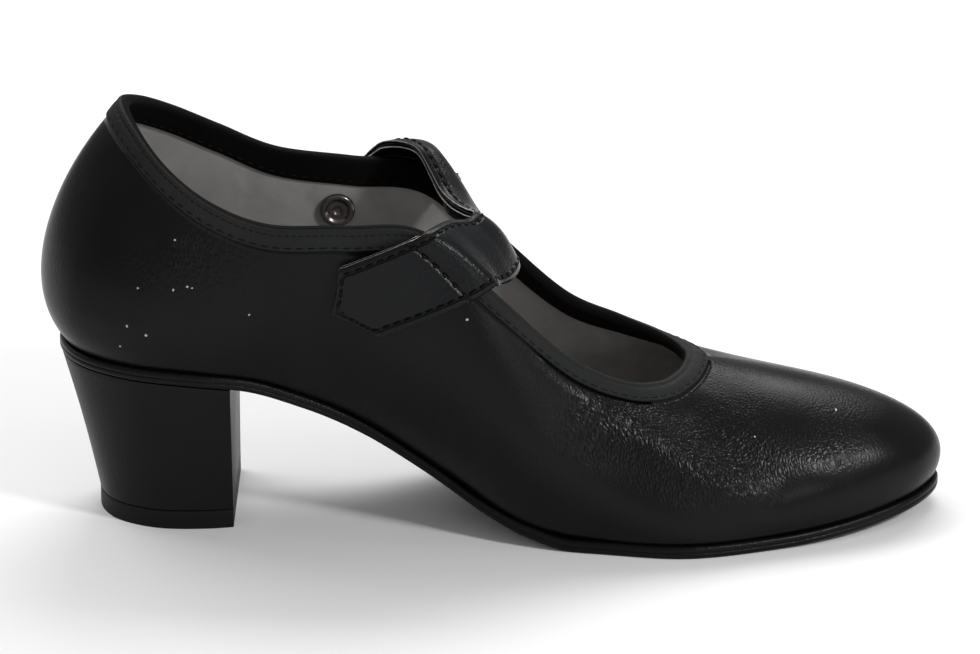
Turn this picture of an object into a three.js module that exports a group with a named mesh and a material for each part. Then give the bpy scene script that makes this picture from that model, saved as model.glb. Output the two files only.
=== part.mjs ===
// Left flamenco shoe: a black leather shoe with a low throat, a bar strap and a block heel.
// Millimetres, +X to the toe, +Y to the outer side of the foot, +Z up, floor at z = 0.
// The origin is the middle of the face that the heel rests on.

import * as THREE from 'three';
import { mergeVertices } from 'three/addons/utils/BufferGeometryUtils.js';

// Sizes along the shoe
const shoeLength = 242; // rearmost point of the counter to the tip of the sole
const counterOverhang = 4; // how far the counter stands behind the back edge of the sole
const heelSeatLength = 46.8; // length of the heel under the sole
const heelPitch = 9.4; // how far the back of the heel slopes forward on its way down

// Sizes across the shoe
const seatWidth = 51; // sole over the heel
const waistWidth = 45; // sole at its narrowest
const ballWidth = 78; // sole at the ball of the foot
const collarWidth = 59; // upper across the opening, in front of the ankle
const topPieceWidth = 41; // heel at the floor

// Heights
const heelHeight = 46.4; // floor to the underside of the sole at the very back
const toeSpring = 5; // floor to the underside of the sole at the tip
const collarHeight = 67; // top of the back above the sole
const quarterHeight = 70; // top of the quarter above the sole, beside the strap
const vampHeight = 40; // edge of the throat above the sole

// Thicknesses, margins and clearances
const soleThickness = 3.4;
const soleMargin = 1.2; // sole edge outside the foot of the upper
const insoleThickness = 2;
const insoleMargin = 0.8; // air round the insole, inside the foot of the upper
const upperWall = 1.8;
const topPieceThickness = 5.2;
const heelInset = 0.4; // heel inside the sole edge
const gap = 0.3; // air between pieces that touch on the real shoe

// Bar strap
const strapWidth = 21.5;
const strapThickness = 2.4;
const strapTab = 36; // strap below the rim, on either side
const strapPoint = 8.5; // pointed end of a tab
const strapBow = 15; // how far the strap runs ahead of the straight line between its ends
const strapRise = 5; // how far it stands above that line, over the outer rim

// Back of the press stud on the outer quarter's lining
const studRadius = 4.8;
const studHeight = 1.5;

// Binding along the topline
const bindingThickness = 0.6;
const bindingWidth = 5.6; // outer leg
const facingWidth = 7.4; // inner leg

const black = { colour: 0x17171a, roughness: 0.42, metalness: 0 };
const soleBlack = { colour: 0x121214, roughness: 0.35, metalness: 0 };
const heelBlack = { colour: 0x141416, roughness: 0.3, metalness: 0 };
const studMetal = { colour: 0x4a4642, roughness: 0.35, metalness: 1 };
const liningGrey = { colour: 0x6a6562, roughness: 0.9, metalness: 0 };

// Sections of the last from heel to toe. along and rimAlong are shares of shoeLength, medial and
// lateral are shares of the row's width, rim is a share of collarWidth, and riseMedial and
// riseLateral are shares of the row's height. lean tilts the foot of the wall outward, bearing
// turns the fall of the rim away from the toe and slope is that fall, all in degrees, and lower
// and upper are the reaches of both ends of the wall's curve as shares of its chord.
const lastRows = [
  { along: 0.0165, width: seatWidth, medial: 0, lateral: 0, lean: 43, lower: 0.27,
    rimAlong: 0.093, rim: 0, height: collarHeight, riseMedial: 0.975, riseLateral: 0.975,
    bearing: 180, slope: 46, upper: 0.44 },
  { along: 0.039, width: seatWidth, medial: 0.294, lateral: 0.294, lean: 38, lower: 0.28,
    rimAlong: 0.108, rim: 0.163, height: collarHeight, riseMedial: 0.918, riseLateral: 0.945,
    bearing: 140, slope: 56, upper: 0.45 },
  { along: 0.099, width: seatWidth, medial: 0.465, lateral: 0.46, lean: 27, lower: 0.29,
    rimAlong: 0.143, rim: 0.31, height: collarHeight, riseMedial: 0.805, riseLateral: 0.875,
    bearing: 116, slope: 68, upper: 0.4 },
  { along: 0.174, width: seatWidth, medial: 0.485, lateral: 0.495, lean: 22, lower: 0.31,
    rimAlong: 0.193, rim: 0.402, height: collarHeight, riseMedial: 0.71, riseLateral: 0.795,
    bearing: 99, slope: 79, upper: 0.36 },
  { along: 0.256, width: seatWidth, medial: 0.42, lateral: 0.5, lean: 24, lower: 0.32,
    rimAlong: 0.256, rim: 0.455, height: quarterHeight, riseMedial: 0.674, riseLateral: 0.717,
    bearing: 93, slope: 86, upper: 0.34 },
  { along: 0.347, width: waistWidth, medial: 0.45, lateral: 0.544, lean: 30, lower: 0.33,
    rimAlong: 0.339, rim: 0.483, height: quarterHeight, riseMedial: 0.815, riseLateral: 0.808,
    bearing: 90, slope: 88, upper: 0.33 },
  { along: 0.438, width: waistWidth, medial: 0.535, lateral: 0.6, lean: 30, lower: 0.33,
    rimAlong: 0.424, rim: 0.5, height: quarterHeight, riseMedial: 0.987, riseLateral: 0.95,
    bearing: 86, slope: 84, upper: 0.33 },
  { along: 0.529, width: ballWidth, medial: 0.415, lateral: 0.428, lean: 22, lower: 0.33,
    rimAlong: 0.504, rim: 0.492, height: quarterHeight, riseMedial: 0.91, riseLateral: 0.846,
    bearing: 80, slope: 68, upper: 0.33 },
  { along: 0.62, width: ballWidth, medial: 0.475, lateral: 0.494, lean: 14, lower: 0.33,
    rimAlong: 0.579, rim: 0.427, height: quarterHeight, riseMedial: 0.697, riseLateral: 0.677,
    bearing: 70, slope: 54, upper: 0.34 },
  { along: 0.711, width: ballWidth, medial: 0.512, lateral: 0.487, lean: 9, lower: 0.32,
    rimAlong: 0.64, rim: 0.347, height: vampHeight, riseMedial: 0.99, riseLateral: 1.055,
    bearing: 58, slope: 40, upper: 0.35 },
  { along: 0.802, width: ballWidth, medial: 0.447, lateral: 0.429, lean: 10, lower: 0.33,
    rimAlong: 0.681, rim: 0.246, height: vampHeight, riseMedial: 0.915, riseLateral: 1.0,
    bearing: 44, slope: 29, upper: 0.37 },
  { along: 0.888, width: ballWidth, medial: 0.349, lateral: 0.34, lean: 18, lower: 0.31,
    rimAlong: 0.703, rim: 0.147, height: vampHeight, riseMedial: 0.895, riseLateral: 0.945,
    bearing: 29, slope: 19, upper: 0.39 },
  { along: 0.955, width: ballWidth, medial: 0.222, lateral: 0.216, lean: 25, lower: 0.31,
    rimAlong: 0.7115, rim: 0.078, height: vampHeight, riseMedial: 0.872, riseLateral: 0.888,
    bearing: 16, slope: 14, upper: 0.41 },
  { along: 0.988, width: ballWidth, medial: 0.112, lateral: 0.108, lean: 27, lower: 0.31,
    rimAlong: 0.7145, rim: 0.034, height: vampHeight, riseMedial: 0.855, riseLateral: 0.86,
    bearing: 8, slope: 12, upper: 0.41 },
  { along: 1, width: ballWidth, medial: 0, lateral: 0, lean: 28, lower: 0.32,
    rimAlong: 0.715, rim: 0, height: vampHeight, riseMedial: 0.845, riseLateral: 0.845,
    bearing: 0, slope: 11, upper: 0.41 },
];

// Underside of the sole: along is a share of shoeLength, heel of heelHeight and toe of toeSpring
const soleRows = [
  { along: 0.0165, heel: 1, toe: 0 },
  { along: 0.116, heel: 0.962, toe: 0 },
  { along: 0.215, heel: 0.895, toe: 0 },
  { along: 0.289, heel: 0.762, toe: 0 },
  { along: 0.355, heel: 0.6, toe: 0 },
  { along: 0.421, heel: 0.395, toe: 0 },
  { along: 0.488, heel: 0.178, toe: 0 },
  { along: 0.537, heel: 0.062, toe: 0 },
  { along: 0.587, heel: 0, toe: 0 },
  { along: 0.76, heel: 0, toe: 0 },
  { along: 0.826, heel: 0, toe: 0.06 },
  { along: 0.888, heel: 0, toe: 0.28 },
  { along: 0.95, heel: 0, toe: 0.62 },
  { along: 1, heel: 0, toe: 1 },
];

const topPieceLength = heelSeatLength - heelPitch;
const backX = -(counterOverhang + heelPitch + topPieceLength / 2);
const breastX = backX + counterOverhang + heelSeatLength;
const alongToX = (share) => backX + share * shoeLength;

// Smooth curve through a table that never overshoots, so its level stretches stay level
function curveThrough(xs, ys) {
  const spans = xs.slice(1).map((x, i) => x - xs[i]);
  const grades = spans.map((span, i) => (ys[i + 1] - ys[i]) / span);
  const slopes = xs.map((_, i) => {
    if (i === 0) return grades[0];
    if (i === spans.length) return grades[i - 1];
    const [before, after] = [grades[i - 1], grades[i]];
    return before * after <= 0 ? 0 : (2 * before * after) / (before + after);
  });
  return (x) => {
    let i = 0;
    while (i < spans.length - 1 && x > xs[i + 1]) i += 1;
    const t = THREE.MathUtils.clamp((x - xs[i]) / spans[i], 0, 1);
    const startBend = (1 - t) * (slopes[i] - grades[i]);
    const endBend = t * (slopes[i + 1] - grades[i]);
    return ys[i] + spans[i] * t * (grades[i] + (1 - t) * (startBend - endBend));
  };
}

const soleBottom = curveThrough(
  soleRows.map((row) => alongToX(row.along)),
  soleRows.map((row) => row.heel * heelHeight + row.toe * toeSpring),
);
const soleTop = (x) => soleBottom(x) + soleThickness;

// The rows run from the heel along the inner side to the toe and back along the outer side, so
// a turn from 0 to 1 is one way round the shoe
const lastRow = lastRows.length - 1;
const ringSize = 2 * lastRow;
const ring = Array.from({ length: ringSize }, (_, i) => (
  i <= lastRow
    ? { row: lastRows[i], side: -1, half: lastRows[i].medial, rise: lastRows[i].riseMedial }
    : { row: lastRows[ringSize - i], side: 1, half: lastRows[ringSize - i].lateral,
        rise: lastRows[ringSize - i].riseLateral }
));
const up = new THREE.Vector3(0, 0, 1);
const ringCurve = (points) => new THREE.CatmullRomCurve3(points, true, 'catmullrom', 0.5);

const soleEdge = ringCurve(ring.map(({ row, side, half }) => (
  new THREE.Vector3(alongToX(row.along), side * half * row.width, 0)
)));

// A point of the sole's outline, drawn in by an inset
function planPoint(turn, inset) {
  const point = soleEdge.getPoint(turn);
  const tangent = soleEdge.getTangent(turn);
  return new THREE.Vector2(point.x - tangent.y * inset, point.y + tangent.x * inset);
}

// The four control points of each wall section, from its foot on the sole to the rim
const wallSections = ring.map(({ row, side, rise }, i) => {
  const plan = planPoint(i / ringSize, soleMargin);
  const edge = planPoint(i / ringSize, 0);
  const foot = new THREE.Vector3(plan.x, plan.y, soleTop(plan.x) + gap);
  const rim = new THREE.Vector3(
    alongToX(row.rimAlong),
    side * row.rim * collarWidth,
    soleTop(alongToX(row.along)) + rise * row.height,
  );
  const chord = foot.distanceTo(rim);
  const [lean, bearing, slope] = [row.lean, row.bearing, row.slope].map(THREE.MathUtils.degToRad);
  const footOutward = new THREE.Vector3(edge.x - plan.x, edge.y - plan.y, 0).normalize();
  const rimOutward = new THREE.Vector3(Math.cos(bearing), side * Math.sin(bearing), 0);
  const swell = foot.clone()
    .addScaledVector(footOutward, row.lower * chord * Math.sin(lean))
    .addScaledVector(up, row.lower * chord * Math.cos(lean));
  const shoulder = rim.clone()
    .addScaledVector(rimOutward, row.upper * chord * Math.cos(slope))
    .addScaledVector(up, -row.upper * chord * Math.sin(slope));
  return [foot, swell, shoulder, rim];
});
const wallCurves = [0, 1, 2, 3].map((k) => ringCurve(wallSections.map((section) => section[k])));

// The outer face of the upper: turn goes round the shoe, height from the foot at 0 to the rim at 1
function wallSurface(turn, height) {
  const [foot, swell, shoulder, rim] = wallCurves.map((curve) => curve.getPoint(turn));
  return new THREE.CubicBezierCurve3(foot, swell, shoulder, rim).getPoint(height);
}

const step = 1e-3; // of a turn or a height, for the slopes of the wall

function wallNormal(turn, height) {
  const around = wallSurface(turn + step, height).sub(wallSurface(turn - step, height));
  const rising = wallSurface(turn, height + step).sub(wallSurface(turn, height - step));
  return around.cross(rising).normalize();
}

// One section of the wall, read by depth below the rim along the leather
function wallColumn(turn) {
  const samples = 60;
  const heights = Array.from({ length: samples + 1 }, (_, i) => 1 - i / samples);
  const points = heights.map((height) => wallSurface(turn, height));
  const depths = [0];
  for (let i = 1; i <= samples; i += 1) depths.push(depths[i - 1] + points[i].distanceTo(points[i - 1]));
  const heightAt = curveThrough(depths, heights);
  const rimDirection = points[0].clone().sub(points[1]).normalize();
  return {
    length: depths[samples],
    // A point at a depth, moved out of the leather by a lift
    at(depth, lift) {
      const height = depth > 0 ? heightAt(depth) : 1;
      const point = wallSurface(turn, height).addScaledVector(wallNormal(turn, height), lift);
      return depth > 0 ? point : point.addScaledVector(rimDirection, -depth);
    },
  };
}

// A closed mesh from triangles given as triples of points; triangles without area are left out
function closedMesh(name, material, triangles) {
  const positions = triangles.flat().flatMap((point) => [point.x, point.y, point.z]);
  const raw = new THREE.BufferGeometry();
  raw.setAttribute('position', new THREE.Float32BufferAttribute(positions, 3));
  const merged = mergeVertices(raw, 1e-3);
  const index = Array.from(merged.index.array);
  const kept = [];
  for (let i = 0; i < index.length; i += 3) {
    const [a, b, c] = index.slice(i, i + 3);
    if (a !== b && b !== c && c !== a) kept.push(a, b, c);
  }
  merged.setIndex(kept);
  merged.computeVertexNormals();
  const finish = new THREE.MeshStandardMaterial({
    color: material.colour, roughness: material.roughness, metalness: material.metalness,
  });
  const mesh = new THREE.Mesh(merged, finish);
  mesh.name = name;
  return mesh;
}

// Side faces between one loop of points and the next, then flat strips across both end loops
const quad = (a, b, c, d) => [[a, b, c], [a, c, d]];

function skin(loop, next) {
  return loop.flatMap((point, i) => {
    const j = (i + 1) % loop.length;
    return quad(point, loop[j], next[j], next[i]);
  });
}

function cap(loop) {
  const triangles = [];
  for (let i = 0, j = loop.length - 1; i + 1 < j; i += 1, j -= 1) {
    triangles.push(...quad(loop[i], loop[i + 1], loop[j - 1], loop[j]));
  }
  return triangles;
}

const flipped = (triangles) => triangles.map(([a, b, c]) => [a, c, b]);

function loft(loops) {
  const sides = loops.slice(1).flatMap((loop, i) => skin(loops[i], loop));
  return [...flipped(cap(loops[0])), ...sides, ...cap(loops[loops.length - 1])];
}

function closedRing(loops) {
  return loops.flatMap((loop, i) => skin(loop, loops[(i + 1) % loops.length]));
}

// Upper: one hollow wall, open at the collar and throat and underneath
const columnsPerRow = 4;
const columnCount = columnsPerRow * ringSize;
const columns = Array.from({ length: columnCount }, (_, i) => wallColumn(i / columnCount));
const rimDepths = [0, bindingWidth, facingWidth];
const lowerShares = [0.13, 0.27, 0.41, 0.54, 0.66, 0.77, 0.87, 0.94, 1];

function upperLoop(column) {
  const depths = [
    ...rimDepths,
    ...lowerShares.map((share) => facingWidth + share * (column.length - facingWidth)),
  ];
  const outer = depths.map((depth) => column.at(depth, 0));
  const inner = depths.map((depth) => column.at(depth, -upperWall));
  const foot = inner[inner.length - 1];
  foot.z = soleTop(foot.x) + gap;
  return [...outer, ...inner.reverse()];
}

const upper = closedMesh('upper', black, closedRing(columns.map(upperLoop)));

// Binding: a channel over the edge of the upper, from its outer leg over the rim to its facing
function bindingLoop(column) {
  const outerFace = gap + bindingThickness;
  const innerFace = -upperWall - gap;
  const outerDepths = [bindingWidth, 0];
  const innerDepths = rimDepths;
  return [
    ...outerDepths.map((depth) => column.at(depth, outerFace)),
    column.at(-gap - bindingThickness, 0),
    column.at(-gap - bindingThickness, -upperWall),
    ...innerDepths.map((depth) => column.at(depth, innerFace - bindingThickness)),
    ...innerDepths.slice().reverse().map((depth) => column.at(depth, innerFace)),
    column.at(-gap, innerFace),
    column.at(-gap, gap),
    ...outerDepths.slice().reverse().map((depth) => column.at(depth, gap)),
  ];
}

const binding = closedMesh('topline_binding', black, flipped(closedRing(columns.map(bindingLoop))));

// Sole and insole: flat strips across the shoe that follow the sole's curve from heel to toe
const stripsPerRow = 4;

function plate(name, material, inset, bottomAt, thickness) {
  const count = stripsPerRow * lastRow;
  const loops = Array.from({ length: count + 1 }, (_, i) => {
    const turn = i / count / 2;
    const inner = planPoint(turn, inset);
    const outer = planPoint(1 - turn, inset);
    const x = (inner.x + outer.x) / 2;
    const bottom = bottomAt(x);
    return [
      new THREE.Vector3(x, inner.y, bottom),
      new THREE.Vector3(x, outer.y, bottom),
      new THREE.Vector3(x, outer.y, bottom + thickness),
      new THREE.Vector3(x, inner.y, bottom + thickness),
    ];
  });
  return closedMesh(name, material, loft(loops));
}

const outsole = plate('outsole', soleBlack, 0, soleBottom, soleThickness);
const insoleInset = soleMargin + upperWall + insoleMargin;
const insole = plate('insole', liningGrey, insoleInset, (x) => soleTop(x) + gap, insoleThickness);

// The turn between two bounds up to which a test holds, by halving
function lastTurn(low, high, holds) {
  const halvings = 30;
  let [from, to] = [low, high];
  for (let i = 0; i < halvings; i += 1) {
    const middle = (from + to) / 2;
    if (holds(middle)) from = middle;
    else to = middle;
  }
  return from;
}

// Heel: the seat's outline at the top, drawn in towards the breast and narrowed at the floor

const heelSegments = 14;
const breastTurn = lastTurn(0, 0.5, (turn) => planPoint(turn, heelInset).x < breastX);

function heelOutline(drawIn) {
  return Array.from({ length: 2 * heelSegments + 1 }, (_, i) => {
    const share = 1 - i / heelSegments;
    const point = planPoint((share * breastTurn + 1) % 1, heelInset);
    const length = 1 - drawIn * (heelPitch / heelSeatLength);
    const width = 1 - drawIn * (1 - topPieceWidth / (seatWidth - 2 * heelInset));
    return new THREE.Vector2(breastX - (breastX - point.x) * length, point.y * width);
  });
}

function heelLoop(drawIn, heightAt) {
  const top = heelOutline(0);
  return heelOutline(drawIn).map((point, i) => new THREE.Vector3(point.x, point.y, heightAt(top[i].x)));
}

const heelFloor = topPieceThickness + gap;
const heelLevels = [0, 0.25, 0.5, 0.75, 1];
const heelHollow = 0.05; // how much the back and sides curve in, as a share of the draw-in
const heel = closedMesh('heel', heelBlack, flipped(loft(heelLevels.map((level) => {
  const drawIn = 1 - level + heelHollow * Math.sin(Math.PI * level);
  return heelLoop(drawIn, (x) => THREE.MathUtils.lerp(heelFloor, soleBottom(x) - gap, level));
}))));
const topPiece = closedMesh('top_piece', soleBlack, flipped(loft([
  heelLoop(1, () => 0),
  heelLoop(1, () => topPieceThickness),
])));

// Strap: a ribbon from the inner tab over the rim, across the instep and down to the outer tab.
// A tab lies on the wall at an angle to the floor, in degrees, from ringPlace, the row where its
// middle meets the rim, and ends in a point. Its cross lines turn from square at the point to the
// line of the rim. down is a share of strapTab, half of half the strap's width, and lift runs
// from on the upper at 0 to over the binding at 1.
const tabs = {
  medial: { ringPlace: 6.45, angle: 24.4, ahead: 1 },
  lateral: { ringPlace: ringSize - 5.93, angle: 38, ahead: -1 },
};
const pointShare = strapPoint / strapTab;
const tabRows = [
  { down: 1, half: 0.03, lift: 0 },
  { down: 1 - 0.5 * pointShare, half: 0.515, lift: 0 },
  { down: 1 - pointShare, half: 1, lift: 0.1 },
  { down: 1 - 1.3 * pointShare, half: 1, lift: 0.2 },
  { down: 0.5, half: 1, lift: 0.6 },
  { down: 0.28, half: 1, lift: 1 },
  { down: 0.1, half: 1, lift: 1 },
  { down: -0.03, half: 1, lift: 1 },
];
// Between the rims, row by row for the ribbon's rear and front edge: across runs from the inner to
// the outer rim, bow is a share of strapBow ahead of the straight line and rise of strapRise above
// it. crown is how far the middle of the ribbon stands above both, as a share of strapRise.
const bridgeRear = [
  { across: 0.1, bow: 0.53, rise: 0.14, crown: 0 },
  { across: 0.22, bow: 0.99, rise: -0.28, crown: 0 },
  { across: 0.3, bow: 1.22, rise: -0.24, crown: 0 },
  { across: 0.39, bow: 1.17, rise: -0.44, crown: 0 },
  { across: 0.5, bow: 1.04, rise: -0.48, crown: 0 },
  { across: 0.6, bow: 0.93, rise: -0.2, crown: 0.2 },
  { across: 0.7, bow: 0.85, rise: 0.48, crown: 0.4 },
  { across: 0.81, bow: 0.74, rise: 1.2, crown: 0.6 },
  { across: 0.92, bow: 0.54, rise: 1.15, crown: 0.55 },
  { across: 0.98, bow: 0.26, rise: 0.88, crown: 0.2 },
];
const bridgeFront = [
  { across: 0.1, bow: 0.23, rise: -0.45 },
  { across: 0.23, bow: 0.54, rise: -0.86 },
  { across: 0.36, bow: 0.74, rise: -0.85 },
  { across: 0.47, bow: 0.67, rise: -1.04 },
  { across: 0.59, bow: 0.53, rise: -1.06 },
  { across: 0.7, bow: 0.36, rise: -1.0 },
  { across: 0.77, bow: 0.16, rise: -0.82 },
  { across: 0.84, bow: -0.14, rise: -0.55 },
  { across: 0.92, bow: -0.16, rise: -0.02 },
  { across: 0.96, bow: -0.02, rise: 0.3 },
];
const acrossShares = [-1, -0.5, 0, 0.5, 1];
const rowsSearched = 2; // rows to either side of a tab's middle that its edges stay within
const strapClearance = 2 * gap + bindingThickness; // strap over the binding

// The point of the wall straight across the shoe from a point of the side view, lifted off it
function wallAcross(x, z, startTurn, lift) {
  const rounds = 8;
  let [turn, height] = [startTurn, 1];
  for (let i = 0; i < rounds; i += 1) {
    const point = wallSurface(turn, height);
    const around = wallSurface(turn + step, height).sub(point).divideScalar(step);
    const rising = wallSurface(turn, height + step).sub(point).divideScalar(step);
    const area = around.x * rising.z - around.z * rising.x;
    const [missX, missZ] = [x - point.x, z - point.z];
    turn += (missX * rising.z - missZ * rising.x) / area;
    height += (around.x * missZ - around.z * missX) / area;
  }
  return wallSurface(turn, height).addScaledVector(wallNormal(turn, height), lift);
}

// Where a line along the tab, a share of its half width off its middle, meets the rim
function rimCrossing({ ringPlace, angle, ahead }, share) {
  const middle = wallSurface(ringPlace / ringSize, 1);
  const tilt = THREE.MathUtils.degToRad(angle);
  const offMiddle = (turn) => {
    const rim = wallSurface(turn, 1);
    return (rim.x - middle.x) * Math.sin(tilt) - (rim.z - middle.z) * Math.cos(tilt);
  };
  const reach = (ahead * rowsSearched) / ringSize;
  const place = ringPlace / ringSize;
  return lastTurn(place - reach, place + reach, (turn) => offMiddle(turn) < (share * strapWidth) / 2);
}

function tabLine(tab, { down, half, lift }) {
  const middle = wallSurface(tab.ringPlace / ringSize, 1);
  const tilt = THREE.MathUtils.degToRad(tab.angle);
  const offWall = strapThickness / 2 + THREE.MathUtils.lerp(gap, strapClearance, lift);
  return acrossShares.map((share) => {
    const turn = rimCrossing(tab, share * half);
    const crossing = wallSurface(turn, 1);
    const reach = (share * half * strapWidth) / 2;
    const endX = middle.x - strapTab * Math.cos(tilt) + reach * Math.sin(tilt);
    const endZ = middle.z - strapTab * Math.sin(tilt) - reach * Math.cos(tilt);
    const x = THREE.MathUtils.lerp(crossing.x, endX, down);
    const z = THREE.MathUtils.lerp(crossing.z, endZ, down);
    return wallAcross(x, z, turn, offWall);
  });
}

// Each line of the bridge runs between its own crossings of the rims, so it follows their curve.
function bridgeLine(rear, i) {
  const front = bridgeFront[i];
  return acrossShares.map((share) => {
    const between = (column) => THREE.MathUtils.lerp(rear[column], front[column], (share + 1) / 2);
    const innerEnd = wallSurface(rimCrossing(tabs.medial, share), 1);
    const outerEnd = wallSurface(rimCrossing(tabs.lateral, share), 1);
    const rise = between('rise') + rear.crown * (1 - share ** 2);
    return innerEnd.lerp(outerEnd, between('across'))
      .add(new THREE.Vector3(between('bow') * strapBow, 0, rise * strapRise));
  });
}

const strapLines = [
  ...tabRows.map((row) => tabLine(tabs.medial, row)),
  ...bridgeRear.map(bridgeLine),
  ...tabRows.map((row) => tabLine(tabs.lateral, row)).reverse(),
];
const strapRails = acrossShares.map((_, k) => (
  new THREE.CatmullRomCurve3(strapLines.map((line) => line[k]), false, 'centripetal')
));
const strapSteps = 2 * (strapLines.length - 1);

function strapLoop(_, i) {
  const place = i / strapSteps;
  const line = strapRails.map((rail) => rail.getPoint(place));
  const last = line.length - 1;
  const along = strapRails[last / 2].getTangent(place);
  const faces = line.map((point, k) => {
    const across = line[Math.min(k + 1, last)].clone().sub(line[Math.max(k - 1, 0)]);
    const normal = across.cross(along).normalize();
    return [1, -1].map((side) => point.clone().addScaledVector(normal, (side * strapThickness) / 2));
  });
  return [...faces.map(([outside]) => outside), ...faces.map(([, inside]) => inside).reverse()];
}

const strap = closedMesh('strap', black, loft(Array.from({ length: strapSteps + 1 }, strapLoop)));

// Press stud: the riveted ring that shows on the lining, under the outer tab. In its profile out
// is a share of studRadius and up of studHeight.
const studPlace = { ringPlace: ringSize - 4.8, depth: 15 };
const studProfile = [
  { out: 0, up: 0 },
  { out: 0.9, up: 0 },
  { out: 1, up: 0.3 },
  { out: 0.98, up: 0.75 },
  { out: 0.86, up: 1 },
  { out: 0.7, up: 0.9 },
  { out: 0.56, up: 0.5 },
  { out: 0.3, up: 0.45 },
  { out: 0.24, up: 0.2 },
  { out: 0, up: 0.2 },
];
const studSegments = 20;

function pressStud() {
  const lathe = new THREE.LatheGeometry(
    studProfile.map(({ out, up: height }) => new THREE.Vector2(out * studRadius, height * studHeight)),
    studSegments,
  );
  const points = lathe.attributes.position;
  const corner = (i) => new THREE.Vector3().fromBufferAttribute(points, lathe.index.getX(i));
  const triangles = Array.from({ length: lathe.index.count / 3 }, (_, i) => (
    [corner(3 * i), corner(3 * i + 1), corner(3 * i + 2)]
  ));
  const mesh = closedMesh('snap_back', studMetal, triangles);
  const column = wallColumn(studPlace.ringPlace / ringSize);
  const seat = column.at(studPlace.depth, -upperWall - gap);
  const inward = column.at(studPlace.depth, -upperWall - gap - 1).sub(seat);
  mesh.position.copy(seat);
  mesh.quaternion.setFromUnitVectors(new THREE.Vector3(0, 1, 0), inward);
  return mesh;
}

const shoe = new THREE.Group();
shoe.add(outsole, insole, heel, topPiece, upper, binding, strap, pressStud());

export default shoe;
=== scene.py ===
# %% [markdown]
# # A left flamenco shoe
#
# The real shoe is lasted: a soft black upper is pulled over a wooden last, glued to an insole and
# closed with a thin sole and a covered heel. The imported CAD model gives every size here. Each
# piece is drawn again from the same last with a finer mesh, because leather shows every facet.

# %% Load the frame
import math

import bmesh
import bpy
import numpy as np
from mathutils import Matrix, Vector


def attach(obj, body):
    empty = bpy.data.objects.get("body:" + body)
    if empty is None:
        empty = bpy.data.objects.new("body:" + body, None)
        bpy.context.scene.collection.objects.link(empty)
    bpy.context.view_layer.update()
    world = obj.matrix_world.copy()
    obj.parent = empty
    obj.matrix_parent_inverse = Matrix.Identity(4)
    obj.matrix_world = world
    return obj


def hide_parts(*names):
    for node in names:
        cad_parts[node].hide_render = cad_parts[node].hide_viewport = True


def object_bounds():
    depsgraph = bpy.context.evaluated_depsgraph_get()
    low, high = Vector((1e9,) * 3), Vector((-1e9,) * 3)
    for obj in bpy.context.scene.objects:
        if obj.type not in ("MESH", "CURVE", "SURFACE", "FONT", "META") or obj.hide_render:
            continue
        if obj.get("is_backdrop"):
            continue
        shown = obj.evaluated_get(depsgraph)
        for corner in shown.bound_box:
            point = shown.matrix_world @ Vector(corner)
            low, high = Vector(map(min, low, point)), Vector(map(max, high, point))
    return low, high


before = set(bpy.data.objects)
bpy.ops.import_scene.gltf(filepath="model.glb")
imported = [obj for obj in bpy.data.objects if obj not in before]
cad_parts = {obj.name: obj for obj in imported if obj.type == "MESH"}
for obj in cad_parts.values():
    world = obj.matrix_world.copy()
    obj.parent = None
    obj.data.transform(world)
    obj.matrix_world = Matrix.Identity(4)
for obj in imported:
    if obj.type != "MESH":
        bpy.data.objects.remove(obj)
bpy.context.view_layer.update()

# %% [markdown]
# ## The camera comes first
#
# A long lens about 1.3 m away sees the inner side of the shoe from 22 degrees above. It could be
# set by eye, but here it was fitted to the outline of the shoe, so that lengths in the picture
# can be read as lengths on the shoe.

# %% Camera
MM = 0.001


def put_in_scene(thing):
    bpy.context.scene.collection.objects.link(thing)
    return thing


VIEW_HEIGHT = math.radians(22)
VIEW_DISTANCE = 1300 * MM
AIM = Vector((87.8, 0, 50.6)) * MM

camera = put_in_scene(bpy.data.objects.new("camera", bpy.data.cameras.new("camera")))
camera.data.sensor_width = 36
camera.data.lens = 177.3
camera.data.clip_start = 0.05
camera.location = AIM + VIEW_DISTANCE * Vector((0, -math.cos(VIEW_HEIGHT), math.sin(VIEW_HEIGHT)))
camera.rotation_euler = (AIM - camera.location).to_track_quat("-Z", "Y").to_euler()
bpy.context.scene.camera = camera
print("camera at", [round(value, 3) for value in camera.location])

# %% [markdown]
# ## Sizes of the shoe
#
# A last maker works with named sizes and with shares of them at a row of sections. The same short
# tables shape the solids of the part, so that every surface drawn from them lands in its place.

# %% Sizes in millimetres
SHOE_LENGTH = 242
COUNTER_OVERHANG = 4
HEEL_SEAT_LENGTH = 46.8
HEEL_PITCH = 9.4
SEAT_WIDTH, WAIST_WIDTH, BALL_WIDTH = 51, 45, 78
COLLAR_WIDTH = 59
TOP_PIECE_WIDTH = 41
HEEL_HEIGHT, TOE_SPRING = 46.4, 5
COLLAR_HEIGHT, QUARTER_HEIGHT, VAMP_HEIGHT = 67, 70, 40
SOLE_THICKNESS, SOLE_MARGIN = 3.4, 1.2
INSOLE_THICKNESS, INSOLE_MARGIN = 2, 0.8
UPPER_WALL = 1.8
TOP_PIECE_THICKNESS = 5.2
HEEL_INSET, GAP = 0.4, 0.3
STRAP_WIDTH, STRAP_THICKNESS = 21.5, 2.4
STRAP_TAB, STRAP_POINT, STRAP_BOW, STRAP_RISE = 36, 8.5, 15, 5
STRAP_SEAM_INSET = 2.1
STUD_RADIUS, STUD_HEIGHT = 4.8, 1.5
BINDING_THICKNESS, BINDING_WIDTH, FACING_WIDTH = 0.6, 5.6, 7.4

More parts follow.
